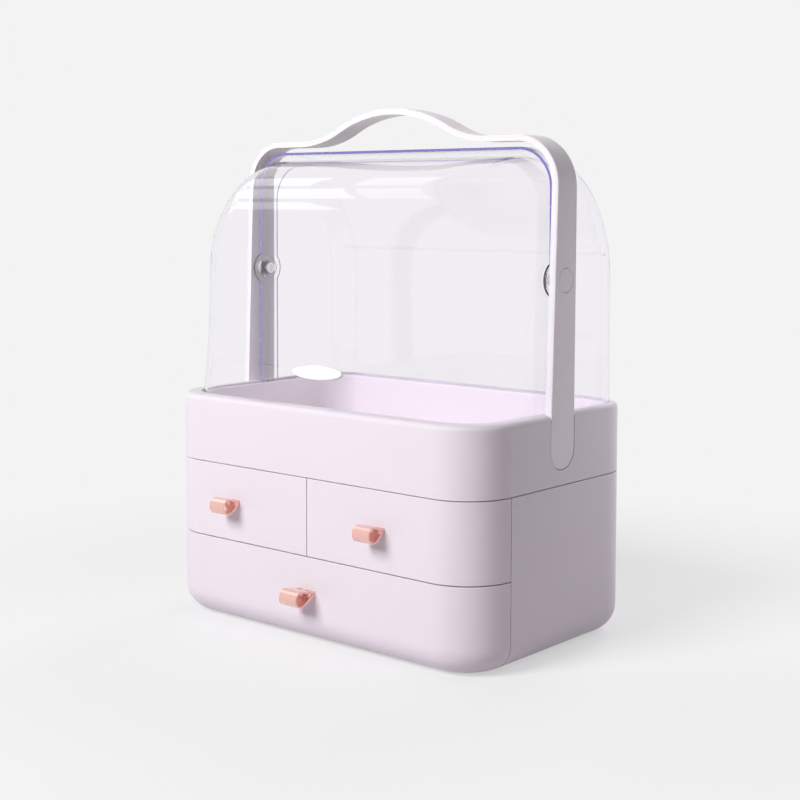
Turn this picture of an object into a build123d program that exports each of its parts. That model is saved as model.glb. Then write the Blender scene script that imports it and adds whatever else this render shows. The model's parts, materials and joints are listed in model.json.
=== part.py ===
from build123d import *
import math
import os

# A free-standing vanity case: two small drawers over a wide one, an open tray
# with a clear cover in two halves, and a carrying handle arched over them.
# Millimetres. The origin is the middle of the underside, the front faces -Y
# and +Z is up.

# ---------------------------------------------------------------- body sizes
WIDTH = 300.0                # over the body, left to right
DEPTH = 190.0                # over the body, front to back
LOW_DRAWER_HEIGHT = 61.3     # underside to the seam above the wide drawer
UPPER_DRAWER_HEIGHT = 55.7   # that seam to the one under the tray
TRAY_HEIGHT = 49.0           # that seam to the top of the rim
CORNER_RADIUS = 37.5         # upright corners
BASE_RADIUS = 19.0           # rounding all round the underside
RIM_RADIUS = 4.0             # rounding all round the rim
WALL = 3.0                   # moulded outer walls
SEAM = 0.7                   # open line between outer pieces
EDGE_RADIUS = 0.5            # eased edges along the seams

# ------------------------------------------------------------- cabinet sizes
PLATE = 2.4                  # shelf, deck and divider
RAIL_WIDTH = 3.0             # rails that carry shelf and deck
SKIN_CLEARANCE = 1.0         # shelf and deck stop this far behind the fronts
STOP_DEPTH = 2.5             # stops that hang under shelf and deck
STOP_THICKNESS = 3.0
STOP_WIDTH = 24.0
PAD_RADIUS = 6.0             # round rubber pads let into the underside
PAD_THICKNESS = 1.5
PAD_SIDE_INSET = 38.0        # pad centres from the sides
PAD_BACK_INSET = 33.0        # back pads' centres from the back
PAD_FRONT_INSET = 15.5       # front pads' centres behind the side seam

# -------------------------------------------------------------- drawer sizes
FRONT_RAISE = 0.5            # the wide front clears the table by this much
GLUE_GAP = 0.15              # drawer box behind its front
SIDE_CLEARANCE = 0.8         # drawer box to the cabinet's walls
FLOOR_CLEARANCE = 0.3        # drawer box above what it slides on
BOX_WALL = 1.8
BOX_FLOOR = 2.0
BOX_CORNER = 3.0             # the small drawers' inner upright corners
RIM_CLEARANCE = 3.1          # drawer rims under shelf and deck
CATCH_RISE = 2.2             # catch on each drawer's back wall
CATCH_WIDTH = 30.0
STOP_GAP = 0.3               # catch to stop with the drawer right out
DRAWER_TRAVEL = 110.0

# ---------------------------------------------------------------- pull sizes
STRIP = 1.2                  # metal strip that the pulls are bent from
NOSE_RADIUS = 5.8            # round front of the loop, outside
NOSE_DROP = 1.6              # its centre below the tongue
PULL_ROOT = 3.6              # height of the loop against the front
SMALL_PULL_WIDTH = 14.6
SMALL_PULL_REACH = 16.4      # how far a small pull stands out
WIDE_PULL_WIDTH = 16.0
WIDE_PULL_REACH = 19.6
LEFT_PULL_X = -75.3
RIGHT_PULL_X = 65.3
SMALL_PULL_RAISE = 1.1       # tongue above the middle of a small front
WIDE_PULL_RAISE = 5.6        # tongue above the middle of the wide front
TONGUE_SHOULDER = 1.2        # tongue narrower than the loop, each side
TONGUE_CLEARANCE = 0.1
SLOT_LENGTH = 4.2            # two slots in the loop's top, by the front
SLOT_WIDTH = 3.0
SLOT_STANDOFF = 3.0          # slots' middle from the front's face
SLOT_SPACING = 8.0
KEEPER_MARGIN = 3.0          # keeper plate round the tongue, inside
KEEPER = 1.5
TONGUE_END = 0.8             # tongue past the keeper

# ---------------------------------------------------------------- tray sizes
LIP_WIDTH = 14.5             # flat rim, from the outer face inwards
LIP = 3.0
FLANGE_WIDTH = 11.5          # foot of the tray's outer wall
LINER_WALL = 2.0
LINER_FLOOR = 2.5
SEAT_DEPTH = 1.5             # step in the rim that the covers stand in
SEAT_GAP = 0.3               # step to the back cover
LIFT_GAP = 2.4               # step to the front cover, which swings out
BOSS_RADIUS = 3.8            # screw bosses inside the tray's outer wall
BOSS_HEIGHT = 14.0
BOSS_SIDE_INSET = 45.0       # boss centres from the sides

# -------------------------------------------------------------- handle sizes
LEG = 5.2                    # leg, outer face to inner face
HANDLE_STRIP = 2.2           # outer strip, the rest of the leg is the frame
LEG_DROP = 38.2              # leg's round end below the rim
LEG_FOOT_WIDTH = 28.0        # leg's width at its round end
HANDLE_WIDTH = 22.7          # width under the shoulders
GRIP_WIDTH = 19.5            # width over the grip
HANDLE_SET_BACK = 3.6        # handle's middle behind the body's, under the shoulders
GRIP_SET_BACK = 1.5          # and over the grip
TAPER_END = 4.0              # the taper ends this far under the shoulders' bends
LEG_GAP = 0.45               # leg to its groove in the tray
POCKET_WALL = 3.2            # wall round and behind the groove
SHOULDER_GAP = 3.8           # covers to the handle's shoulders
SHOULDER = 4.2               # thickness of the shoulders
SHOULDER_RADIUS = 34.0
HUMP_RISE = 22.0             # grip above the shoulders
GRIP = 4.4                   # thickness of the grip
CREST_RADIUS = 115.0
FOOT_RADIUS = 75.0           # hollow curve at the foot of the hump
GRIP_UNDER_FOOT_RADIUS = 90.0
HANDLE_EDGE = 0.9            # rounding of the strip's long edges

# --------------------------------------------------------------- cover sizes
PIVOT_RISE = 90.5            # hinge axis above the rim
HINGE_Y = 2.4                # and behind the body's middle
RIM_LAND = 5.0               # rim outside the back cover
BACK_FLARE = 0.7             # back cover deeper at the rim than at the axis
BACK_TALL = 3.9              # and taller over the axis than deep behind it
FRONT_FLARE = 7.0
FRONT_FLATTEN = 7.1          # front cover shallower than it is tall
COVER = 1.8                  # thickness of the clear covers
COVER_GAP = 0.6              # front cover's crown to the back cover's wall, swung back
COVER_SIDE_GAP = 0.5
SPACER = 3.0                 # spacer between back cover and leg
COVER_EDGE_RADIUS = 30.0     # front cover's rounded shoulders
FRONT_OVERLAP = 10.8         # front cover reaches past the axis
BACK_OVERLAP = 5.6           # and the back cover the other way
COVER_LIFT = 0.3             # front cover above its seat
HEEL_CUT = 1.5               # front cover's heel is cut to swing clear
FRONT_EAR_RADIUS = 14.0
BACK_EAR_RADIUS = 12.5
BOSS_RING_RADIUS = 8.35      # ring round the hinge screw, inside
BOSS_RING = 1.2
HOOK_X = 60.0                # hooks that hold the back cover in the rim
HOOK_WIDTH = 12.0
HOOK_DROP = 4.0
TAB_LENGTH = 47.5            # white finger tab, an oval plate that leans back
TAB_HEIGHT = 11.6            # up its face
TAB = 2.2                    # its thickness
TAB_LEAN = 40.0              # degrees that it leans
TAB_EDGE_RADIUS = 0.6
TAB_NECK = 0.6               # the neck behind it, as a share of the plate
TAB_STANDOFF = 6.3           # middle of its face outside the cover's face
TAB_RISE = 24.2              # and above the rim

# ------------------------------------------------------------ hardware sizes
HINGE_RADIUS = 3.0           # plain part of the hinge screws
HINGE_FIT = 0.08             # running clearance, on the radius
HINGE_THREAD_RADIUS = 2.0
HINGE_HEAD_RADIUS = 4.4
HINGE_HEAD = 2.2
HINGE_HEAD_GAP = 0.1
CROSS_LENGTH = 5.0           # cross recess in the screw heads
CROSS_WIDTH = 1.0
CROSS_DEPTH = 0.9
NUT_FLATS = 8.0
NUT = 2.0
NUT_GAP = 0.1
CAP_RADIUS = 8.25            # round caps over the nuts
CAP_GAP = 0.3
SPACER_RADIUS = 6.0
SCREW_RADIUS = 1.75
SCREW_FIT = 0.05
SCREW_HEAD_RADIUS = 3.4
SCREW_HEAD = 1.8
LEG_SCREW_LENGTH = 5.8
LEG_SCREW_LOW = 11.0         # lower leg screw above the leg's end
LEG_SCREW_SPACING = 16.0
TRAY_SCREW_LENGTH = 12.0

# ------------------------------------------------------------ worked-out sizes
HALF_WIDTH = WIDTH / 2
HALF_DEPTH = DEPTH / 2
LOW_SEAM_Z = LOW_DRAWER_HEIGHT
TRAY_SEAM_Z = LOW_SEAM_Z + UPPER_DRAWER_HEIGHT
RIM_Z = TRAY_SEAM_Z + TRAY_HEIGHT
SIDE_SEAM_Y = -HALF_DEPTH + CORNER_RADIUS
CABINET_FRONT_Y = SIDE_SEAM_Y + SEAM / 2
CABINET_TOP_Z = TRAY_SEAM_Z - SEAM / 2
TRAY_Z = TRAY_SEAM_Z + SEAM / 2
DECK_Z = TRAY_Z - PLATE
SHELF_Z = LOW_SEAM_Z - PLATE / 2
SHELF_TOP_Z = SHELF_Z + PLATE
BOX_INSET = WALL + SIDE_CLEARANCE
BOX_FRONT_INSET = WALL + GLUE_GAP
BOX_BACK_Y = HALF_DEPTH - BOX_INSET
DIVIDER_CLEARANCE = PLATE / 2 + SIDE_CLEARANCE
SMALL_BOX_Z = SHELF_TOP_Z + FLOOR_CLEARANCE
SMALL_BOX_TOP_Z = DECK_Z - RIM_CLEARANCE
WIDE_BOX_Z = WALL + FLOOR_CLEARANCE
WIDE_BOX_TOP_Z = SHELF_Z - RIM_CLEARANCE
STOP_BACK_Y = BOX_BACK_Y - BOX_WALL - DRAWER_TRAVEL - STOP_GAP
SMALL_DRAWER_X = (HALF_WIDTH - BOX_INSET + DIVIDER_CLEARANCE) / 2
SMALL_PULL_Z = (LOW_SEAM_Z + TRAY_SEAM_Z) / 2 + SMALL_PULL_RAISE
WIDE_PULL_Z = LOW_SEAM_Z / 2 + WIDE_PULL_RAISE
BOSS_INSET = (WALL + FLANGE_WIDTH) / 2
BOSS_X = HALF_WIDTH - BOSS_SIDE_INSET
BOSS_Y = HALF_DEPTH - BOSS_INSET
LINER_INSET = LIP_WIDTH - LINER_WALL
SEAT_Z = RIM_Z - SEAT_DEPTH
PIVOT_Z = RIM_Z + PIVOT_RISE
LEG_INNER_X = HALF_WIDTH - LEG
STRIP_INNER_X = HALF_WIDTH - HANDLE_STRIP
POCKET_BACK_X = LEG_INNER_X - POCKET_WALL
LEG_END_Z = RIM_Z - LEG_DROP
BACK_HALF_WIDTH = LEG_INNER_X - SPACER
FRONT_HALF_WIDTH = BACK_HALF_WIDTH - COVER - COVER_SIDE_GAP
BACK_WAIST = HALF_DEPTH - RIM_LAND - BACK_FLARE - HINGE_Y
BACK_CROWN = BACK_WAIST + BACK_TALL
FRONT_CROWN = BACK_WAIST - COVER - COVER_GAP
FRONT_WAIST = FRONT_CROWN - FRONT_FLATTEN
BACK_EDGE_RADIUS = COVER_EDGE_RADIUS - COVER
SHOULDER_UNDER_Z = PIVOT_Z + BACK_CROWN + SHOULDER_GAP
SHOULDER_Z = SHOULDER_UNDER_Z + SHOULDER
CREST_Z = SHOULDER_Z + HUMP_RISE
CUT = 1.0                    # cutters run on this far past what they cut
TOUCH = 0.01                 # anything nearer than this lies in the same plane
FAR = 2 * (WIDTH + DEPTH)    # longer than anything here, for cutting

SIDES = {"left": -1, "right": 1}

os.makedirs("parts", exist_ok=True)


def save(piece, name):
    """Label one finished piece and write its file."""
    piece.label = name
    export_step(piece, f"parts/{name}.step")


def slab(x, y, z):
    """A square-edged block between two x, two y and two z values."""
    with BuildPart() as block:
        with Locations((sum(x) / 2, sum(y) / 2, sum(z) / 2)):
            Box(x[1] - x[0], y[1] - y[0], z[1] - z[0])
    return block.part


def body_block(inset, low, high, front_inset=None, base_radius=0.0):
    """The body's rounded outline, inset from its skin, between two heights."""
    front = -HALF_DEPTH + (inset if front_inset is None else front_inset)
    back = HALF_DEPTH - inset
    with BuildPart() as block:
        with BuildSketch(Plane.XY.offset(low)):
            with Locations((0, (front + back) / 2)):
                RectangleRounded(WIDTH - 2 * inset, back - front, CORNER_RADIUS - inset)
        extrude(amount=high - low)
        if base_radius:
            fillet(block.edges().group_by(Axis.Z)[0], base_radius)
    return block.part


def behind(y):
    """Everything behind a plane across the body."""
    return slab((-FAR, FAR), (y, FAR), (-FAR, FAR))


def before(y):
    """Everything in front of a plane across the body."""
    return slab((-FAR, FAR), (-FAR, y), (-FAR, FAR))


def rod(side, start, end, radius, y=HINGE_Y, z=PIVOT_Z, mode=Mode.ADD):
    """A round bar along X, between two distances from the middle."""
    with Locations((side * (start + end) / 2, y, z)):
        Cylinder(radius, end - start, rotation=(0, 90, 0), mode=mode)


def pipe(side, start, end, radius, y=HINGE_Y, z=PIVOT_Z):
    """A round hole along X, between two distances from the middle."""
    rod(side, start, end, radius, y, z, Mode.SUBTRACT)


# -------------------------------------------------------------------- cabinet
PAD_PLACES = {
    "front_left": (-HALF_WIDTH + PAD_SIDE_INSET, CABINET_FRONT_Y + PAD_FRONT_INSET),
    "front_right": (HALF_WIDTH - PAD_SIDE_INSET, CABINET_FRONT_Y + PAD_FRONT_INSET),
    "back_left": (-HALF_WIDTH + PAD_SIDE_INSET, HALF_DEPTH - PAD_BACK_INSET),
    "back_right": (HALF_WIDTH - PAD_SIDE_INSET, HALF_DEPTH - PAD_BACK_INSET),
}

outer = body_block(0, 0, CABINET_TOP_Z, base_radius=BASE_RADIUS)
inner = body_block(WALL, WALL, CABINET_TOP_Z + CUT, base_radius=BASE_RADIUS - WALL)
with BuildPart() as cabinet_shell:
    add(outer)
    add(inner, mode=Mode.SUBTRACT)
    for rail_top in (SHELF_Z, DECK_Z):
        for side in SIDES.values():
            with Locations((side * (HALF_WIDTH - WALL - RAIL_WIDTH / 2), 0, rail_top - PLATE / 2)):
                Box(RAIL_WIDTH, -2 * SIDE_SEAM_Y, PLATE)
    add(before(CABINET_FRONT_Y), mode=Mode.SUBTRACT)
    with BuildSketch():
        with Locations(*PAD_PLACES.values()):
            Circle(PAD_RADIUS + SCREW_FIT)
    extrude(amount=PAD_THICKNESS, mode=Mode.SUBTRACT)
save(cabinet_shell.part, "cabinet_shell")

for corner, place in PAD_PLACES.items():
    with BuildPart() as foot_pad:
        with BuildSketch():
            with Locations(place):
                Circle(PAD_RADIUS)
        extrude(amount=PAD_THICKNESS)
    save(foot_pad.part, f"foot_pad_{corner}")


def plate_block(low):
    """Outline of shelf and deck: tight in the cabinet, clear of the fronts."""
    tight = body_block(WALL, low, low + PLATE)
    clear = body_block(WALL + SKIN_CLEARANCE, low, low + PLATE)
    back = behind(CABINET_FRONT_Y)
    with BuildPart() as plate:
        add(tight)
        add(back, mode=Mode.INTERSECT)
        add(clear)
    return plate.part


def drawer_stop(x, top):
    """Ledge under a plate that a drawer's catch runs against."""
    with Locations((x, STOP_BACK_Y - STOP_THICKNESS / 2, top - STOP_DEPTH / 2)):
        Box(STOP_WIDTH, STOP_THICKNESS, STOP_DEPTH)


shelf_plate = plate_block(SHELF_Z)
with BuildPart() as cabinet_shelf:
    add(shelf_plate)
    drawer_stop(0, SHELF_Z)
save(cabinet_shelf.part, "cabinet_shelf")

BOSS_PLACES = {
    "front_left": (-BOSS_X, -BOSS_Y),
    "front_right": (BOSS_X, -BOSS_Y),
    "back_left": (-BOSS_X, BOSS_Y),
    "back_right": (BOSS_X, BOSS_Y),
}

deck_plate = plate_block(DECK_Z)
with BuildPart() as cabinet_deck:
    add(deck_plate)
    for side in SIDES.values():
        drawer_stop(side * SMALL_DRAWER_X, DECK_Z)
    with BuildSketch(Plane.XY.offset(DECK_Z)):
        with Locations(*BOSS_PLACES.values()):
            Circle(SCREW_RADIUS + SCREW_FIT)
    extrude(amount=PLATE, mode=Mode.SUBTRACT)
save(cabinet_deck.part, "cabinet_deck")

with BuildPart() as cabinet_divider:
    add(slab(
        (-PLATE / 2, PLATE / 2),
        (-HALF_DEPTH + WALL + SKIN_CLEARANCE, HALF_DEPTH - WALL),
        (SHELF_TOP_Z, DECK_Z),
    ))
save(cabinet_divider.part, "cabinet_divider")


# -------------------------------------------------------------------- drawers
DRAWERS = {
    "left": {
        "x": (-FAR, -SEAM / 2),
        "front_z": (LOW_SEAM_Z + SEAM / 2, TRAY_SEAM_Z - SEAM / 2),
        "box_x": (-FAR, -DIVIDER_CLEARANCE),
        "box_z": (SMALL_BOX_Z, SMALL_BOX_TOP_Z),
        "catch_x": -SMALL_DRAWER_X,
        "pull": (LEFT_PULL_X, SMALL_PULL_Z, SMALL_PULL_WIDTH, SMALL_PULL_REACH),
    },
    "right": {
        "x": (SEAM / 2, FAR),
        "front_z": (LOW_SEAM_Z + SEAM / 2, TRAY_SEAM_Z - SEAM / 2),
        "box_x": (DIVIDER_CLEARANCE, FAR),
        "box_z": (SMALL_BOX_Z, SMALL_BOX_TOP_Z),
        "catch_x": SMALL_DRAWER_X,
        "pull": (RIGHT_PULL_X, SMALL_PULL_Z, SMALL_PULL_WIDTH, SMALL_PULL_REACH),
    },
    "bottom": {
        "x": (-FAR, FAR),
        "front_z": (FRONT_RAISE, LOW_SEAM_Z - SEAM / 2),
        "box_x": (-FAR, FAR),
        "box_z": (WIDE_BOX_Z, WIDE_BOX_TOP_Z),
        "catch_x": 0.0,
        "pull": (0.0, WIDE_PULL_Z, WIDE_PULL_WIDTH, WIDE_PULL_REACH),
    },
}


def tongue_block(pull, extra):
    """The pull's tongue, from the front's face to past the keeper inside."""
    x, z, width, reach = pull
    half = width / 2 - TONGUE_SHOULDER + extra
    end = -HALF_DEPTH + BOX_FRONT_INSET + BOX_WALL + KEEPER + TONGUE_END
    return slab((x - half, x + half), (-HALF_DEPTH, end), (z - STRIP - extra, z + STRIP + extra))


def drawer_front(drawer, base):
    """Front that wraps round the body's corners, hollow behind."""
    low, high = drawer["front_z"]
    if base:
        skin = body_block(0, 0, high, base_radius=BASE_RADIUS)
        hollow = body_block(WALL, WALL, high + CUT, base_radius=BASE_RADIUS - WALL)
    else:
        skin = body_block(0, low, high)
        hollow = body_block(WALL, low - CUT, high + CUT)
    window = slab(drawer["x"], (-FAR, SIDE_SEAM_Y - SEAM / 2), (low, high))
    hole = tongue_block(drawer["pull"], TONGUE_CLEARANCE)
    with BuildPart() as front:
        add(skin)
        add(window, mode=Mode.INTERSECT)
        ends = front.edges().group_by(Axis.Z)
        fillet(ends[-1] if base else ends[0] + ends[-1], EDGE_RADIUS)
        add(hollow, mode=Mode.SUBTRACT)
        add(hole, mode=Mode.SUBTRACT)
    return front.part


def drawer_box(drawer, base):
    """Open box that slides in the cabinet, with a catch on its back wall."""
    low, high = drawer["box_z"]
    x0, x1 = drawer["box_x"]
    radius = BASE_RADIUS - WALL if base else 0.0
    outside = body_block(BOX_INSET, low, high, BOX_FRONT_INSET, radius)
    inside = body_block(
        BOX_INSET + BOX_WALL, low + BOX_FLOOR, high + CUT, BOX_FRONT_INSET + BOX_WALL,
        radius - BOX_WALL if base else 0.0,
    )
    between = slab((x0, x1), (-FAR, FAR), (-FAR, FAR))
    within = slab((x0 + BOX_WALL, x1 - BOX_WALL), (-FAR, FAR), (-FAR, FAR))
    with BuildPart() as space:
        add(inside)
        add(within, mode=Mode.INTERSECT)
        if not base:
            corners = space.edges().filter_by(Axis.Z).sort_by(lambda edge: abs(edge.center().X))[:2]
            fillet(corners, BOX_CORNER - BOX_WALL)
    hole = tongue_block(drawer["pull"], TONGUE_CLEARANCE)
    with BuildPart() as box:
        add(outside)
        add(between, mode=Mode.INTERSECT)
        if not base:
            corners = box.edges().filter_by(Axis.Z).sort_by(lambda edge: abs(edge.center().X))[:2]
            fillet(corners, BOX_CORNER)
        add(space.part, mode=Mode.SUBTRACT)
        add(hole, mode=Mode.SUBTRACT)
        with Locations((drawer["catch_x"], BOX_BACK_Y - BOX_WALL / 2, high + CATCH_RISE / 2)):
            Box(CATCH_WIDTH, BOX_WALL, CATCH_RISE)
    return box.part


def pull_loop(pull):
    """Metal strip bent to a drop-shaped loop, its ends side by side as a tongue."""
    x, z, width, reach = pull
    nose = (-HALF_DEPTH - reach + NOSE_RADIUS, z - NOSE_DROP)
    tip = (-HALF_DEPTH - STRIP / 2, z)
    crease = (-HALF_DEPTH - 2 * STRIP, z)
    section = Plane.YZ.offset(x)
    with BuildPart() as loop:
        with BuildSketch(section):
            with Locations(nose):
                Circle(NOSE_RADIUS)
            with Locations(tip):
                Rectangle(STRIP, PULL_ROOT)
            make_hull()
        extrude(amount=width / 2, both=True)
        with BuildSketch(section):
            with Locations(nose):
                Circle(NOSE_RADIUS - STRIP)
            with Locations(crease):
                Circle(STRIP / 8)
            make_hull()
        extrude(amount=width / 2, both=True, mode=Mode.SUBTRACT)
        for offset in (-SLOT_SPACING / 2, SLOT_SPACING / 2):
            with Locations((x + offset, -HALF_DEPTH - SLOT_STANDOFF, z + NOSE_RADIUS / 2)):
                Box(SLOT_LENGTH, SLOT_WIDTH, NOSE_RADIUS, mode=Mode.SUBTRACT)
    return loop.part


for name, drawer in DRAWERS.items():
    is_wide = name == "bottom"
    save(drawer_front(drawer, is_wide), f"drawer_front_{name}")
    save(drawer_box(drawer, is_wide), f"drawer_box_{name}")

    loop = pull_loop(drawer["pull"])
    tongue = tongue_block(drawer["pull"], 0.0)
    with BuildPart() as drawer_pull:
        add(loop)
        add(tongue)
    save(drawer_pull.part, f"drawer_pull_{name}")

    x, z, width, reach = drawer["pull"]
    keeper_front = -HALF_DEPTH + BOX_FRONT_INSET + BOX_WALL
    hole = tongue_block(drawer["pull"], SCREW_FIT)
    with BuildPart() as pull_keeper:
        with Locations((x, keeper_front + KEEPER / 2, z)):
            Box(width + 2 * KEEPER_MARGIN, KEEPER, 2 * STRIP + 2 * KEEPER_MARGIN)
        fillet(pull_keeper.edges().filter_by(Axis.Y), KEEPER_MARGIN / 2)
        add(hole, mode=Mode.SUBTRACT)
    save(pull_keeper.part, f"pull_keeper_{name}")


# --------------------------------------------------------------------- handle
def arch_block(half_width, shoulder_z, corner, crest_z, crest_radius, foot_radius):
    """Everything under one outline of the handle, seen from the front."""
    bend = math.acos(1 - (crest_z - shoulder_z) / (crest_radius + foot_radius))
    foot = ((crest_radius + foot_radius) * math.sin(bend), shoulder_z)
    bend_end = (half_width - corner, shoulder_z)

    def on_crest(angle):
        return (crest_radius * math.sin(angle), crest_z - crest_radius * (1 - math.cos(angle)))

    def on_foot(angle):
        return (foot[0] - foot_radius * math.sin(angle), shoulder_z + foot_radius * (1 - math.cos(angle)))

    with BuildPart() as block:
        with BuildSketch(Plane.XZ):
            with BuildLine():
                ThreePointArc(on_crest(0), on_crest(bend / 2), on_crest(bend))
                ThreePointArc(on_crest(bend), on_foot(bend / 2), foot)
                Line(foot, bend_end)
                CenterArc((half_width - corner, shoulder_z - corner), corner, 0, 90)
                Polyline((half_width, shoulder_z - corner), (half_width, 0), (0, 0))
                mirror(about=Plane.YZ)
            make_face()
        extrude(amount=HALF_DEPTH, both=True)
    return block.part


def leg_block(extra, start, end):
    """The handle seen from the side: tapered, with round lower ends."""
    foot = LEG_FOOT_WIDTH / 2 + extra
    top = HANDLE_WIDTH / 2 + extra
    grip = GRIP_WIDTH / 2 + extra
    foot_z = LEG_END_Z + LEG_FOOT_WIDTH / 2
    top_z = SHOULDER_Z - SHOULDER_RADIUS - TAPER_END
    with BuildPart() as block:
        with BuildSketch(Plane.YZ.offset(start)):
            with BuildLine():
                Polyline(
                    (foot, foot_z), (HANDLE_SET_BACK + top, top_z), (GRIP_SET_BACK + grip, CREST_Z),
                    (GRIP_SET_BACK - grip, CREST_Z), (HANDLE_SET_BACK - top, top_z), (-foot, foot_z),
                )
                ThreePointArc((-foot, foot_z), (0, foot_z - foot), (foot, foot_z))
            make_face()
        extrude(amount=end - start)
    return block.part


face_outline = arch_block(
    HALF_WIDTH, SHOULDER_Z, SHOULDER_RADIUS, CREST_Z, CREST_RADIUS, FOOT_RADIUS,
)
joint_outline = arch_block(
    STRIP_INNER_X, SHOULDER_Z - HANDLE_STRIP, SHOULDER_RADIUS - HANDLE_STRIP, CREST_Z - HANDLE_STRIP,
    CREST_RADIUS - HANDLE_STRIP, FOOT_RADIUS + HANDLE_STRIP,
)
under_outline = arch_block(
    LEG_INNER_X, SHOULDER_UNDER_Z, SHOULDER_RADIUS - LEG, CREST_Z - GRIP,
    CREST_RADIUS - GRIP, GRIP_UNDER_FOOT_RADIUS,
)
side_outline = leg_block(0.0, -HALF_WIDTH, HALF_WIDTH)
LEG_SCREW_Z = (LEG_END_Z + LEG_SCREW_LOW, LEG_END_Z + LEG_SCREW_LOW + LEG_SCREW_SPACING)
LEG_SCREW_END_X = POCKET_BACK_X + LEG_SCREW_LENGTH

with BuildPart() as handle_frame:
    add(joint_outline)
    add(under_outline, mode=Mode.SUBTRACT)
    add(side_outline, mode=Mode.INTERSECT)
    for side in SIDES.values():
        pipe(side, LEG_INNER_X, HALF_WIDTH, HINGE_THREAD_RADIUS + SCREW_FIT)
        with BuildSketch(Plane.YZ.offset(side * STRIP_INNER_X)):
            with Locations((HINGE_Y, PIVOT_Z)):
                RegularPolygon(NUT_FLATS / 2 + NUT_GAP, 6, major_radius=False)
        extrude(amount=-side * (NUT + NUT_GAP), mode=Mode.SUBTRACT)
        for z in LEG_SCREW_Z:
            pipe(side, LEG_INNER_X, LEG_SCREW_END_X + NUT_GAP, SCREW_RADIUS + SCREW_FIT, 0.0, z)
save(handle_frame.part, "handle_frame")

with BuildPart() as handle_strip:
    add(face_outline)
    add(side_outline, mode=Mode.INTERSECT)
    long_edges = handle_strip.edges().filter_by(lambda edge: edge.center().Z > LEG_END_Z + TOUCH)
    nearest = GRIP_WIDTH / 2 - GRIP_SET_BACK - TOUCH
    long_edges = long_edges.filter_by(lambda edge: abs(edge.center().Y) > nearest)
    fillet(long_edges, HANDLE_EDGE)
    add(joint_outline, mode=Mode.SUBTRACT)
    for side in SIDES.values():
        pipe(side, STRIP_INNER_X - SEAM, HALF_WIDTH + SEAM, CAP_RADIUS + CAP_GAP)
save(handle_strip.part, "handle_strip")


# --------------------------------------------------------------------- covers
def flare_radius(flare):
    """Radius of the wall below the axis that gains this flare down to the seat."""
    return ((PIVOT_Z - SEAT_Z) ** 2 + flare ** 2) / (2 * flare)


def cover_block(sign, inset, half_width, waist, crown, flare, edge_radius, low, overlap):
    """Solid under one clear cover: upright wall, round crown, eased shoulders."""
    end_y = -sign * overlap
    waist_y = waist - inset
    crown_z = PIVOT_Z + crown - inset
    bend = flare_radius(flare)

    def on_wall(z):
        return (sign * (waist + bend - math.sqrt((bend + inset) ** 2 - (PIVOT_Z - z) ** 2)), z)

    def on_swing(y):
        return (y, PIVOT_Z + math.sqrt((crown - inset) ** 2 - y ** 2))

    with BuildPart() as block:
        with BuildSketch(Plane((0, HINGE_Y, 0), x_dir=(0, 1, 0), z_dir=(1, 0, 0))):
            with BuildLine():
                ThreePointArc(on_wall(low), on_wall((low + PIVOT_Z) / 2), on_wall(PIVOT_Z))
                EllipticalCenterArc(
                    (0, PIVOT_Z), waist_y, crown_z - PIVOT_Z,
                    start_angle=0 if sign > 0 else 90, arc_size=90,
                )
                ThreePointArc((0, crown_z), on_swing(end_y / 2), on_swing(end_y))
                Polyline(on_swing(end_y), (end_y, low), on_wall(low))
            make_face()
        extrude(amount=half_width - inset, both=True)
        shoulders = block.edges().filter_by(lambda edge: abs(edge.center().X) > half_width - inset - TOUCH)
        shoulders = shoulders.filter_by(lambda edge: edge.center().Z > low + TOUCH)
        shoulders = shoulders.filter_by(lambda edge: sign * (edge.center().Y - HINGE_Y) > -overlap + TOUCH)
        fillet(shoulders, edge_radius - inset)
    return block.part


FRONT_SHAPE = (FRONT_HALF_WIDTH, FRONT_WAIST, FRONT_CROWN, FRONT_FLARE, COVER_EDGE_RADIUS)
BACK_SHAPE = (BACK_HALF_WIDTH, BACK_WAIST, BACK_CROWN, BACK_FLARE, BACK_EDGE_RADIUS)
FRONT_LOW_Z = SEAT_Z + COVER_LIFT

front_outside = cover_block(-1, 0.0, *FRONT_SHAPE, FRONT_LOW_Z, FRONT_OVERLAP)
front_inside = cover_block(-1, COVER, *FRONT_SHAPE, FRONT_LOW_Z - CUT, FRONT_OVERLAP + CUT)
with BuildPart() as front_cover:
    add(front_outside)
    add(front_inside, mode=Mode.SUBTRACT)
    with Locations((0, HINGE_Y + FRONT_OVERLAP / 2, FRONT_LOW_Z)):
        Box(WIDTH, FRONT_OVERLAP, 2 * HEEL_CUT, mode=Mode.SUBTRACT)
    for side in SIDES.values():
        rod(side, FRONT_HALF_WIDTH - COVER, FRONT_HALF_WIDTH, FRONT_EAR_RADIUS)
        rod(side, FRONT_HALF_WIDTH - COVER - BOSS_RING, FRONT_HALF_WIDTH, BOSS_RING_RADIUS)
        pipe(side, FRONT_HALF_WIDTH - 3 * COVER, FRONT_HALF_WIDTH + COVER, HINGE_RADIUS + HINGE_FIT)
save(front_cover.part, "front_cover")

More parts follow.
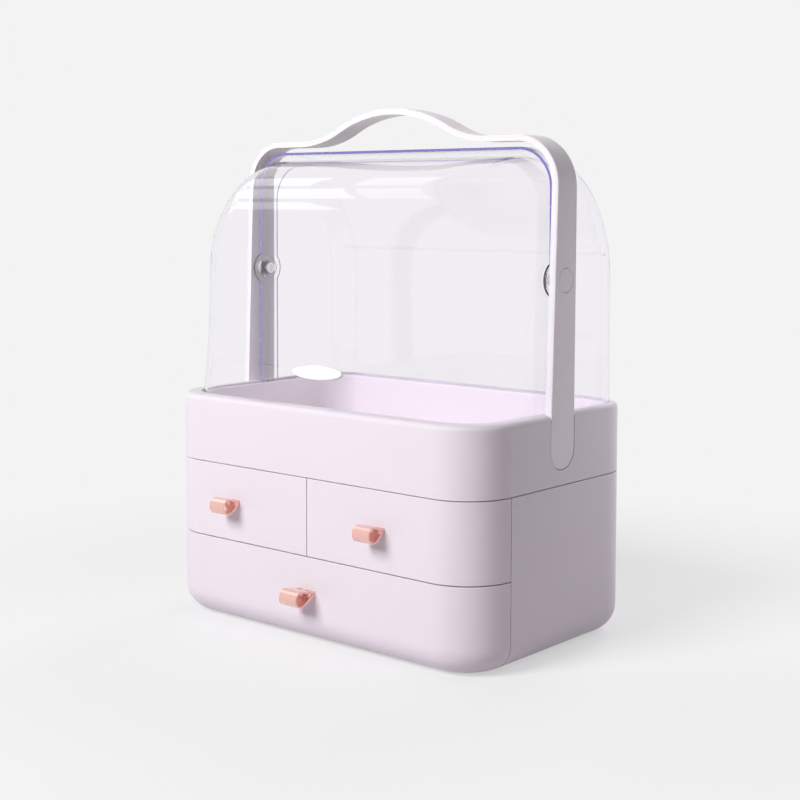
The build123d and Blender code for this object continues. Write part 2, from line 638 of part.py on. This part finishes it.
HOOK_Y = HINGE_Y + BACK_WAIST + BACK_FLARE - COVER / 2
back_outside = cover_block(1, 0.0, *BACK_SHAPE, SEAT_Z, BACK_OVERLAP)
back_inside = cover_block(1, COVER, *BACK_SHAPE, SEAT_Z - CUT, BACK_OVERLAP + CUT)
with BuildPart() as rear_cover:
    add(back_outside)
    add(back_inside, mode=Mode.SUBTRACT)
    for side in SIDES.values():
        rod(side, BACK_HALF_WIDTH - COVER, BACK_HALF_WIDTH, BACK_EAR_RADIUS)
        pipe(side, BACK_HALF_WIDTH - 2 * COVER, BACK_HALF_WIDTH + COVER, HINGE_RADIUS + HINGE_FIT)
        with Locations((side * HOOK_X, HOOK_Y, SEAT_Z - HOOK_DROP / 2)):
            Box(HOOK_WIDTH, COVER, HOOK_DROP)
save(rear_cover.part, "rear_cover")

# The finger tab leans back on a neck, so its lower edge stands clear of the cover.
TAB_Z = RIM_Z + TAB_RISE
wall_bend = flare_radius(FRONT_FLARE)
face_y = FRONT_WAIST + wall_bend - math.sqrt(wall_bend ** 2 - (PIVOT_Z - TAB_Z) ** 2)
TAB_Y = HINGE_Y - face_y - TAB_STANDOFF
lean = math.radians(TAB_LEAN)
tab_face = Plane((0, TAB_Y, TAB_Z), x_dir=(1, 0, 0), z_dir=(0, -math.cos(lean), math.sin(lean)))
with BuildPart() as cover_tab:
    with BuildSketch(tab_face):
        Ellipse(TAB_LENGTH / 2, TAB_HEIGHT / 2)
    extrude(amount=-TAB)
    fillet(cover_tab.edges(), TAB_EDGE_RADIUS)
    with BuildSketch(tab_face.offset(-TAB / 2)):
        Ellipse(TAB_NECK * TAB_LENGTH / 2, TAB_NECK * TAB_HEIGHT / 2)
    extrude(amount=2 * TAB_STANDOFF, dir=(0, 1, 0))
    add(front_outside, mode=Mode.SUBTRACT)
save(cover_tab.part, "cover_tab")


# ----------------------------------------------------------------------- tray
def seat_block():
    """Step in the rim round both covers, roomy where the front one swings."""
    with BuildPart() as block:
        with BuildSketch(Plane.XY.offset(SEAT_Z)):
            RectangleRounded(
                2 * (FRONT_HALF_WIDTH + COVER_SIDE_GAP),
                2 * (FRONT_WAIST + FRONT_FLARE - HINGE_Y + LIFT_GAP),
                COVER_EDGE_RADIUS + COVER_SIDE_GAP,
            )
            with Locations((0, HINGE_Y - BACK_OVERLAP - COVER_SIDE_GAP + FAR / 2)):
                Rectangle(FAR, FAR, mode=Mode.SUBTRACT)
        extrude(amount=SEAT_DEPTH + CUT)
    front = block.part
    with BuildPart() as block:
        with BuildSketch(Plane.XY.offset(SEAT_Z)):
            RectangleRounded(
                2 * (BACK_HALF_WIDTH + SEAT_GAP),
                2 * (BACK_WAIST + BACK_FLARE + HINGE_Y + SEAT_GAP),
                BACK_EDGE_RADIUS + SEAT_GAP,
            )
            with Locations((0, HINGE_Y - BACK_OVERLAP - COVER_SIDE_GAP - FAR / 2)):
                Rectangle(FAR, FAR, mode=Mode.SUBTRACT)
        extrude(amount=SEAT_DEPTH + CUT)
        add(front)
    return block.part


FLANGE_TOP_Z = TRAY_Z + PLATE
tray_skin = body_block(0, TRAY_Z, RIM_Z)
tray_cavity = body_block(WALL, FLANGE_TOP_Z, RIM_Z - LIP)
tray_mouth = body_block(LIP_WIDTH, RIM_Z - LIP - CUT, RIM_Z + CUT)
tray_foot = body_block(FLANGE_WIDTH, TRAY_Z - CUT, FLANGE_TOP_Z + CUT)
cover_seat = seat_block()
pocket = leg_block(LEG_GAP + POCKET_WALL, POCKET_BACK_X, HALF_WIDTH - WALL / 2)
pocket_room = slab((-FAR, FAR), (-FAR, FAR), (FLANGE_TOP_Z, RIM_Z - LIP / 2))
groove = leg_block(LEG_GAP, LEG_INNER_X, FAR)
with BuildPart() as pocket_right:
    add(pocket)
    add(pocket_room, mode=Mode.INTERSECT)
pocket_left = mirror(pocket_right.part, about=Plane.YZ)
groove_left = mirror(groove, about=Plane.YZ)
with BuildPart() as tray_frame:
    add(tray_skin)
    fillet(tray_frame.edges().group_by(Axis.Z)[-1], RIM_RADIUS)
    add(tray_cavity, mode=Mode.SUBTRACT)
    add(tray_mouth, mode=Mode.SUBTRACT)
    add(tray_foot, mode=Mode.SUBTRACT)
    with BuildSketch(Plane.XY.offset(FLANGE_TOP_Z)):
        with Locations(*BOSS_PLACES.values()):
            Circle(BOSS_RADIUS)
    extrude(amount=BOSS_HEIGHT)
    with BuildSketch(Plane.XY.offset(TRAY_Z)):
        with Locations(*BOSS_PLACES.values()):
            Circle(SCREW_RADIUS + SCREW_FIT)
    extrude(amount=TRAY_SCREW_LENGTH - PLATE + NUT_GAP, mode=Mode.SUBTRACT)
    add(pocket_right.part)
    add(pocket_left)
    add(cover_seat, mode=Mode.SUBTRACT)
    add(groove, mode=Mode.SUBTRACT)
    add(groove_left, mode=Mode.SUBTRACT)
    for side in SIDES.values():
        with Locations((side * HOOK_X, HOOK_Y, SEAT_Z - HOOK_DROP / 2)):
            Box(HOOK_WIDTH + 2 * SEAT_GAP, COVER + 2 * SEAT_GAP, HOOK_DROP + CUT, mode=Mode.SUBTRACT)
        for z in LEG_SCREW_Z:
            pipe(side, POCKET_BACK_X - SEAM, LEG_INNER_X + SEAM, SCREW_RADIUS + SCREW_FIT, 0.0, z)
save(tray_frame.part, "tray_frame")

liner_outside = body_block(LINER_INSET, TRAY_Z, RIM_Z - LIP)
liner_inside = body_block(LIP_WIDTH, TRAY_Z + LINER_FLOOR, RIM_Z)
with BuildPart() as tray_liner:
    add(liner_outside)
    add(liner_inside, mode=Mode.SUBTRACT)
save(tray_liner.part, "tray_liner")


# ------------------------------------------------------------------- hardware
HINGE_HEAD_X = FRONT_HALF_WIDTH - COVER - BOSS_RING - HINGE_HEAD_GAP
for name, side in SIDES.items():
    with BuildPart() as hinge_screw:
        rod(side, HINGE_HEAD_X - HINGE_HEAD, HINGE_HEAD_X, HINGE_HEAD_RADIUS)
        rod(side, HINGE_HEAD_X, LEG_INNER_X, HINGE_RADIUS)
        rod(side, LEG_INNER_X, STRIP_INNER_X, HINGE_THREAD_RADIUS)
        head_edges = hinge_screw.edges().group_by(Axis.X)[0 if side > 0 else -1]
        fillet(head_edges, HINGE_HEAD / 3)
        with Locations((side * (HINGE_HEAD_X - HINGE_HEAD + CROSS_DEPTH / 2), HINGE_Y, PIVOT_Z)):
            Box(CROSS_DEPTH, CROSS_LENGTH, CROSS_WIDTH, mode=Mode.SUBTRACT)
            Box(CROSS_DEPTH, CROSS_WIDTH, CROSS_LENGTH, mode=Mode.SUBTRACT)
    save(hinge_screw.part, f"hinge_screw_{name}")

    with BuildPart() as hinge_spacer:
        rod(side, BACK_HALF_WIDTH, LEG_INNER_X, SPACER_RADIUS)
        pipe(side, BACK_HALF_WIDTH, LEG_INNER_X, HINGE_RADIUS + HINGE_FIT)
    save(hinge_spacer.part, f"hinge_spacer_{name}")

    with BuildPart() as hinge_nut:
        with BuildSketch(Plane.YZ.offset(side * STRIP_INNER_X)):
            with Locations((HINGE_Y, PIVOT_Z)):
                RegularPolygon(NUT_FLATS / 2, 6, major_radius=False)
        extrude(amount=-side * NUT)
        pipe(side, STRIP_INNER_X - 2 * NUT, HALF_WIDTH, HINGE_THREAD_RADIUS + SCREW_FIT)
    save(hinge_nut.part, f"hinge_nut_{name}")

    with BuildPart() as hinge_cap:
        rod(side, STRIP_INNER_X, HALF_WIDTH, CAP_RADIUS)
        rim_edges = hinge_cap.edges().group_by(Axis.X)[-1 if side > 0 else 0]
        fillet(rim_edges, CAP_GAP)
    save(hinge_cap.part, f"hinge_cap_{name}")

    for level, z in zip(("low", "high"), LEG_SCREW_Z):
        with BuildPart() as leg_screw:
            rod(side, POCKET_BACK_X - SCREW_HEAD, POCKET_BACK_X, SCREW_HEAD_RADIUS, 0.0, z)
            rod(side, POCKET_BACK_X, LEG_SCREW_END_X, SCREW_RADIUS, 0.0, z)
        save(leg_screw.part, f"leg_screw_{name}_{level}")

for corner, place in BOSS_PLACES.items():
    with BuildPart() as tray_screw:
        with BuildSketch(Plane.XY.offset(DECK_Z - SCREW_HEAD)):
            with Locations(place):
                Circle(SCREW_HEAD_RADIUS)
        extrude(amount=SCREW_HEAD)
        with BuildSketch(Plane.XY.offset(DECK_Z)):
            with Locations(place):
                Circle(SCREW_RADIUS)
        extrude(amount=TRAY_SCREW_LENGTH)
    save(tray_screw.part, f"tray_screw_{corner}")
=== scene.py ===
# Vanity case: three drawers, an open tray, a clear cover in two halves and a handle.
# Metres, in the same frame as the solid model. The front faces -Y.
import json
import math

import bpy
from mathutils import Matrix, Vector


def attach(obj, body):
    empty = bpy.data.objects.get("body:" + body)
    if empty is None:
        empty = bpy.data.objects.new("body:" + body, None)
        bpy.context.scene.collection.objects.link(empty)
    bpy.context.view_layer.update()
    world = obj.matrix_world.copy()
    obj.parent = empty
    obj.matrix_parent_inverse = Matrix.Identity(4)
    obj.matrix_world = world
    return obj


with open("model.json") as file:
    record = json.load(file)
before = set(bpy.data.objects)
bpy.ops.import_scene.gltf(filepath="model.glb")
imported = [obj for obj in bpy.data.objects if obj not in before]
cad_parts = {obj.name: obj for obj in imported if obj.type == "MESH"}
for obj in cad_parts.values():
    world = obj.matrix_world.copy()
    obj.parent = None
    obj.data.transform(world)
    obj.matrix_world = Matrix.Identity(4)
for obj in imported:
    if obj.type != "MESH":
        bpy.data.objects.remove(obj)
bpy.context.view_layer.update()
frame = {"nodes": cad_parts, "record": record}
nodes = frame["nodes"]
bpy.ops.object.select_all(action="DESELECT")


# ------------------------------------------------------------------ materials
CLOUD_SCALE = 9.0            # faint cloudiness of a moulded colour
GLOSS_SCALE = 60.0           # uneven gloss of moulded plastic
SPARK_GRAIN = 1800.0, 0.000012   # spark-eroded grain: scale and depth
METAL_GLOSS_SCALE = 120.0
BRUSH_STRETCH = (60.0, 2500.0, 2500.0)   # brush lines run along X
BRUSH_DEPTH = 0.000006
PLASTIC_IOR = 1.45
COLOUR_A, COLOUR_B, COLOUR_OUT = 6, 7, 2   # the Mix node's colour sockets


def plain_finish(name, colour, roughness, **sockets):
    """A new material and its shader, with the values that are the same all over."""
    finish = bpy.data.materials.new(name)
    finish.use_nodes = True
    shader = finish.node_tree.nodes["Principled BSDF"]
    shader.inputs["Base Color"].default_value = (*colour, 1)
    shader.inputs["Roughness"].default_value = roughness
    for socket, value in sockets.items():
        shader.inputs[socket.replace("_", " ")].default_value = value
    return finish, shader


def add_node(finish, kind, **values):
    node = finish.node_tree.nodes.new(kind)
    for name, value in values.items():
        if name in node.inputs:
            node.inputs[name].default_value = value
        else:
            setattr(node, name, value)
    return node


def link(finish, start, end):
    finish.node_tree.links.new(start, end)


def object_noise(finish, scale, detail=3.0):
    """Noise that sits still on the piece."""
    place = add_node(finish, "ShaderNodeTexCoord")
    noise = add_node(finish, "ShaderNodeTexNoise", Scale=scale, Detail=detail)
    link(finish, place.outputs["Object"], noise.inputs["Vector"])
    return noise.outputs["Fac"]


def spread(finish, source, low, high):
    """A value from low to high as the source goes from 0.3 to 0.7."""
    ramp = add_node(finish, "ShaderNodeMapRange")
    ramp.inputs["From Min"].default_value = 0.3
    ramp.inputs["From Max"].default_value = 0.7
    ramp.inputs["To Min"].default_value = low
    ramp.inputs["To Max"].default_value = high
    link(finish, source, ramp.inputs["Value"])
    return ramp.outputs["Result"]


def between(finish, source, first, second):
    """A colour between two, as the source says."""
    mix = add_node(finish, "ShaderNodeMix", data_type="RGBA")
    mix.inputs[COLOUR_A].default_value = (*first, 1)
    mix.inputs[COLOUR_B].default_value = (*second, 1)
    link(finish, source, mix.inputs[0])
    return mix.outputs[COLOUR_OUT]


def grain(finish, shader, source, distance):
    bump = add_node(finish, "ShaderNodeBump", Strength=1.0, Distance=distance)
    link(finish, source, bump.inputs["Height"])
    link(finish, bump.outputs["Normal"], shader.inputs["Normal"])


def moulded_plastic(name, colour, roughness, **sockets):
    """Satin moulded plastic: faint cloudiness, uneven gloss and a fine spark-eroded grain."""
    finish, shader = plain_finish(name, colour, roughness, **sockets)
    cloud = object_noise(finish, CLOUD_SCALE)
    paler = tuple(min(1.0, part * 1.015) for part in colour)
    darker = tuple(part * 0.985 for part in colour)
    link(finish, between(finish, cloud, darker, paler), shader.inputs["Base Color"])
    gloss = spread(finish, object_noise(finish, GLOSS_SCALE), roughness - 0.03, roughness + 0.04)
    link(finish, gloss, shader.inputs["Roughness"])
    scale, depth = SPARK_GRAIN
    grain(finish, shader, object_noise(finish, scale, 2.0), depth)
    return finish


def brushed_metal(name, colour, roughness, **sockets):
    """Metal with fine lines along X, uneven gloss and a slightly uneven colour."""
    finish, shader = plain_finish(name, colour, roughness, **sockets)
    place = add_node(finish, "ShaderNodeTexCoord")
    stretch = add_node(finish, "ShaderNodeMapping")
    stretch.inputs["Scale"].default_value = BRUSH_STRETCH
    lines = add_node(finish, "ShaderNodeTexNoise", Scale=1.0, Detail=2.0)
    link(finish, place.outputs["Object"], stretch.inputs["Vector"])
    link(finish, stretch.outputs["Vector"], lines.inputs["Vector"])
    darker = tuple(part * 0.96 for part in colour)
    link(finish, between(finish, lines.outputs["Fac"], darker, colour), shader.inputs["Base Color"])
    gloss = spread(finish, object_noise(finish, METAL_GLOSS_SCALE), roughness - 0.04, roughness + 0.05)
    link(finish, gloss, shader.inputs["Roughness"])
    grain(finish, shader, lines.outputs["Fac"], BRUSH_DEPTH)
    return finish


body_plastic = moulded_plastic("body_plastic", (0.83, 0.773, 0.83), 0.36)
inner_plastic = moulded_plastic("inner_plastic", (0.80, 0.73, 0.78), 0.40)
handle_plastic = moulded_plastic("handle_plastic", (0.92, 0.88, 0.915), 0.32)
# A paler copy of the handle plastic for the handle's inner frame: painted light, for the light that falls on
# its inner faces.
painted_light_frame_plastic = moulded_plastic("painted_light_frame_plastic", (0.97, 0.935, 0.945), 0.30)
tab_plastic = moulded_plastic("tab_plastic", (0.92, 0.91, 0.93), 0.14)
rose_metal = brushed_metal(
    "rose_metal", (0.93, 0.565, 0.50), 0.24, Metallic=0.75, Coat_Weight=0.6, Coat_Roughness=0.12
)
steel = brushed_metal("steel", (0.80, 0.79, 0.80), 0.25, Metallic=1.0)
spacer_plastic = moulded_plastic("spacer_plastic", (0.80, 0.78, 0.80), 0.45)
pad_rubber = moulded_plastic("pad_rubber", (0.35, 0.34, 0.35), 0.7)


def clear_plastic_finish():
    """Polished clear plastic that lets lamps through and gathers violet-blue where light runs along it."""
    finish, shader = plain_finish(
        "clear_plastic", (1.0, 0.99, 1.0), 0.015, Transmission_Weight=1.0, IOR=PLASTIC_IOR
    )
    output = finish.node_tree.nodes["Material Output"]
    path = add_node(finish, "ShaderNodeLightPath")
    clear = add_node(finish, "ShaderNodeBsdfTransparent")
    clear.inputs["Color"].default_value = (0.97, 0.965, 0.985, 1)
    mix = add_node(finish, "ShaderNodeMixShader")
    link(finish, path.outputs["Is Shadow Ray"], mix.inputs[0])
    link(finish, shader.outputs["BSDF"], mix.inputs[1])
    link(finish, clear.outputs["BSDF"], mix.inputs[2])
    link(finish, mix.outputs["Shader"], output.inputs["Surface"])
    deep = add_node(finish, "ShaderNodeVolumeAbsorption", Density=8.0)
    deep.inputs["Color"].default_value = (0.45, 0.38, 0.95, 1)
    link(finish, deep.outputs["Volume"], output.inputs["Volume"])
    return finish


clear_plastic = clear_plastic_finish()


def painted_edge_shade_finish():
    """Painted shade for the cut edge of the clear plastic: a deep violet-blue, a little uneven along its
    length, in place of the dark tint that light takes on along the edge.
    """
    finish, shader = plain_finish(
        "painted_edge_shade", (0.33, 0.30, 0.80), 0.25, Transmission_Weight=0.35, IOR=PLASTIC_IOR
    )
    depth = between(finish, object_noise(finish, 30.0), (0.26, 0.24, 0.72), (0.40, 0.37, 0.86))
    link(finish, depth, shader.inputs["Base Color"])
    link(finish, spread(finish, object_noise(finish, 200.0), 0.2, 0.3), shader.inputs["Roughness"])
    return finish


painted_edge_shade = painted_edge_shade_finish()

FINISHES = {
    "body_plastic": body_plastic,
    "inner_plastic": inner_plastic,
    "handle_plastic": handle_plastic,
    "clear_plastic": clear_plastic,
    "tab_plastic": tab_plastic,
    "rose_metal": rose_metal,
    "steel": steel,
    "spacer_plastic": spacer_plastic,
    "pad_rubber": pad_rubber,
}
slot_of = {part["node"]: part["material_slot"] for part in frame["record"]["subparts"]}
for name, piece in nodes.items():
    piece.data.materials.clear()
    piece.data.materials.append(FINISHES[slot_of[name]])
# The inner frame takes the paler copy: painted light on the handle's inner faces.
nodes["handle_frame"].data.materials[0] = painted_light_frame_plastic


REAR_COVER_EDGE_Y = -0.0032
FRONT_COVER_EDGE_Y = 0.0132


def paint_edge_shade(piece, edge_y):
    """Painted violet-blue shade on the cut edge of a cover under the handle, where light running along clear
    plastic turns it violet-blue.
    """
    near, facing = 0.0002, 0.9
    piece.data.materials.append(painted_edge_shade)
    for face in piece.data.polygons:
        if abs(face.center.y - edge_y) < near and abs(face.normal.y) > facing:
            face.material_index = 1


# Painted violet-blue shade on the two covers' cut edges.
paint_edge_shade(nodes["rear_cover"], REAR_COVER_EDGE_Y)
paint_edge_shade(nodes["front_cover"], FRONT_COVER_EDGE_Y)


# ---------------------------------------------------------- added small pieces
def rear_rib():
    """Low rib across the outside of the rear wall and part way round its two corners."""
    rib_z, rib_radius, sink = 0.2718, 0.0011, 0.0003
    wall_y, corner_radius, corner_x = 0.0881, 0.0282, 0.1136
    straight_x = 0.04
    turn, steps = math.radians(36), 6
    bend = []
    for step in range(steps + 1):
        angle = turn * step / steps
        x = corner_x + corner_radius * math.sin(angle)
        bend.append((x, wall_y - corner_radius * (1 - math.cos(angle))))
    line = [(-x, y) for x, y in reversed(bend)] + [(-straight_x, wall_y), (straight_x, wall_y)] + bend
    bpy.ops.curve.primitive_nurbs_path_add()
    rib = bpy.context.object
    rib.name = "rear_cover_rib"
    path = rib.data.splines[0]
    path.points.add(len(line) - len(path.points))
    for point, (x, y) in zip(path.points, line):
        point.co = (x, y + rib_radius - sink, rib_z, 1)
    path.order_u = 3
    path.use_endpoint_u = True
    path.resolution_u = 6
    rib.data.bevel_depth = rib_radius
    rib.data.bevel_resolution = 3
    rib.data.use_fill_caps = True
    bpy.ops.object.convert(target="MESH")
    bpy.ops.object.shade_smooth()
    rib.data.materials.append(clear_plastic)
    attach(rib, "case")


rear_rib()


# ------------------------------------------------------------ floor and light
BACKDROP = 0.896             # the pale grey that the camera sees behind the case
FLOOR_LIT = 0.97             # the floor's colour near the case, where it takes the shadow
WORLD_FILL = 0.165           # soft light from all round
SHADE_NEAR, SHADE_FAR = 0.18, 0.55   # the shadow fades out between these distances
SHADE_SHARE = 0.42           # how much of the lit floor shows near the case


def seen_directly(tree, seen, bounced):
    """One shader for what camera, gloss and clear plastic see, another for the light it gives."""
    path = tree.nodes.new("ShaderNodeLightPath")
    any_view = path.outputs["Is Camera Ray"]
    for view in ("Is Glossy Ray", "Is Transmission Ray"):
        larger = tree.nodes.new("ShaderNodeMath")
        larger.operation = "MAXIMUM"
        tree.links.new(any_view, larger.inputs[0])
        tree.links.new(path.outputs[view], larger.inputs[1])
        any_view = larger.outputs[0]
    mix = tree.nodes.new("ShaderNodeMixShader")
    tree.links.new(any_view, mix.inputs[0])
    tree.links.new(bounced, mix.inputs[1])
    tree.links.new(seen, mix.inputs[2])
    return mix.outputs["Shader"]


def soft_floor():
    """Large pale floor: it keeps the case's shadow near by and runs into the backdrop further off."""
    bpy.ops.mesh.primitive_plane_add(size=12, location=(0, 0, -0.0005))
    floor = bpy.context.object
    floor.name = "floor"
    finish, shader = plain_finish("floor_paint", (0.62, 0.58, 0.62), 0.9)
    tree = finish.node_tree
    even = add_node(finish, "ShaderNodeEmission")
    even.inputs["Color"].default_value = (BACKDROP, BACKDROP, BACKDROP, 1)
    lit = add_node(finish, "ShaderNodeBsdfDiffuse")
    lit.inputs["Color"].default_value = (FLOOR_LIT, FLOOR_LIT, FLOOR_LIT, 1)
    place = add_node(finish, "ShaderNodeTexCoord")
    reach = add_node(finish, "ShaderNodeVectorMath", operation="LENGTH")
    link(finish, place.outputs["Object"], reach.inputs[0])
    fade = add_node(finish, "ShaderNodeMapRange", interpolation_type="SMOOTHSTEP")
    fade.inputs["From Min"].default_value = SHADE_NEAR
    fade.inputs["From Max"].default_value = SHADE_FAR
    fade.inputs["To Min"].default_value = SHADE_SHARE
    fade.inputs["To Max"].default_value = 0.0
    link(finish, reach.outputs["Value"], fade.inputs["Value"])
    seen = add_node(finish, "ShaderNodeMixShader")
    link(finish, fade.outputs["Result"], seen.inputs[0])
    link(finish, even.outputs["Emission"], seen.inputs[1])
    link(finish, lit.outputs["BSDF"], seen.inputs[2])
    surface = seen_directly(tree, seen.outputs["Shader"], shader.outputs["BSDF"])
    link(finish, surface, tree.nodes["Material Output"].inputs["Surface"])
    floor.data.materials.append(finish)


def soft_lamp(name, place, target, width, height, power):
    bpy.ops.object.light_add(type="AREA", location=place)
    lamp = bpy.context.object
    lamp.name = name
    lamp.data.shape = "RECTANGLE"
    lamp.data.size = width
    lamp.data.size_y = height
    lamp.data.energy = power
    toward = Vector(target) - Vector(place)
    lamp.rotation_euler = toward.to_track_quat("-Z", "Y").to_euler()
    return lamp


def pale_world():
    world = bpy.data.worlds.new("studio")
    bpy.context.scene.world = world
    world.use_nodes = True
    tree = world.node_tree
    fill = tree.nodes["Background"]
    fill.inputs["Color"].default_value = (0.98, 0.90, 1.0, 1)
    fill.inputs["Strength"].default_value = WORLD_FILL
    seen = tree.nodes.new("ShaderNodeBackground")
    seen.inputs["Color"].default_value = (BACKDROP, BACKDROP, BACKDROP, 1)
    surface = seen_directly(tree, seen.outputs["Background"], fill.outputs["Background"])
    tree.links.new(surface, tree.nodes["World Output"].inputs["Surface"])


soft_floor()
pale_world()
key = soft_lamp("key", (-0.25, -1.54, 1.16), (0, 0, 0.18), 0.8, 0.8, 30.3)
side_light = soft_lamp("side_light", (0.28, 0.25, 0.25), (0.15, 0.06, 0.12), 0.12, 0.12, 0.23)
side_light.visible_camera = False
back_light = soft_lamp("back_light", (-0.25, 1.50, 1.00), (0, 0.1, 0.2), 0.7, 0.7, 9)
for lamp in (key, side_light, back_light):
    lamp.visible_glossy = False
    lamp.visible_transmission = False
# A softbox high on the left, in strips, that shines in the clear cover's crown.
SOFTBOX_Z = 1.7
SOFTBOX_STRIPS = (           # near and far y, left and right x, watts
    (-0.78, -0.51, -2.7, -1.47, 1.25),
    (-0.38, -0.03, -2.7, -1.30, 1.6),
    (0.09, 0.42, -2.7, -1.40, 1.45),
    (-0.38, -0.03, -1.27, -1.10, 0.1),
    (0.09, 0.42, -1.28, -1.10, 0.1),
)
for number, (near, far, left, right, power) in enumerate(SOFTBOX_STRIPS):
    middle = ((left + right) / 2, (near + far) / 2)
    strip = soft_lamp(f"strip_{number}", (*middle, SOFTBOX_Z), (*middle, 0), right - left, far - near, power)
    strip.visible_camera = False
bpy.context.scene.view_settings.view_transform = "Standard"


# --------------------------------------------------------------------- camera
def photograph_camera():
    """The photograph's own view, fitted to the body's edges."""
    image_width = 800
    focal_pixels = 1485.04
    centre = (420.07, 302.97)
    yaw, pitch, roll = 0.7013, 0.0678, 0.0027
    place = Vector((0.7212, -0.82684, 0.30908))
    data = bpy.data.cameras.new("camera")
    data.sensor_width = 36.0
    data.lens = focal_pixels / image_width * data.sensor_width
    data.shift_x = (image_width / 2 - centre[0]) / image_width
    data.shift_y = (centre[1] - image_width / 2) / image_width
    camera = bpy.data.objects.new("camera", data)
    bpy.context.scene.collection.objects.link(camera)
    level = Matrix.Rotation(math.pi / 2 - pitch, 4, "X")
    turn = Matrix.Rotation(yaw, 4, "Z") @ level @ Matrix.Rotation(roll, 4, "Z")
    camera.matrix_world = Matrix.Translation(place) @ turn
    bpy.context.scene.camera = camera


photograph_camera()

bpy.context.view_layer.update()
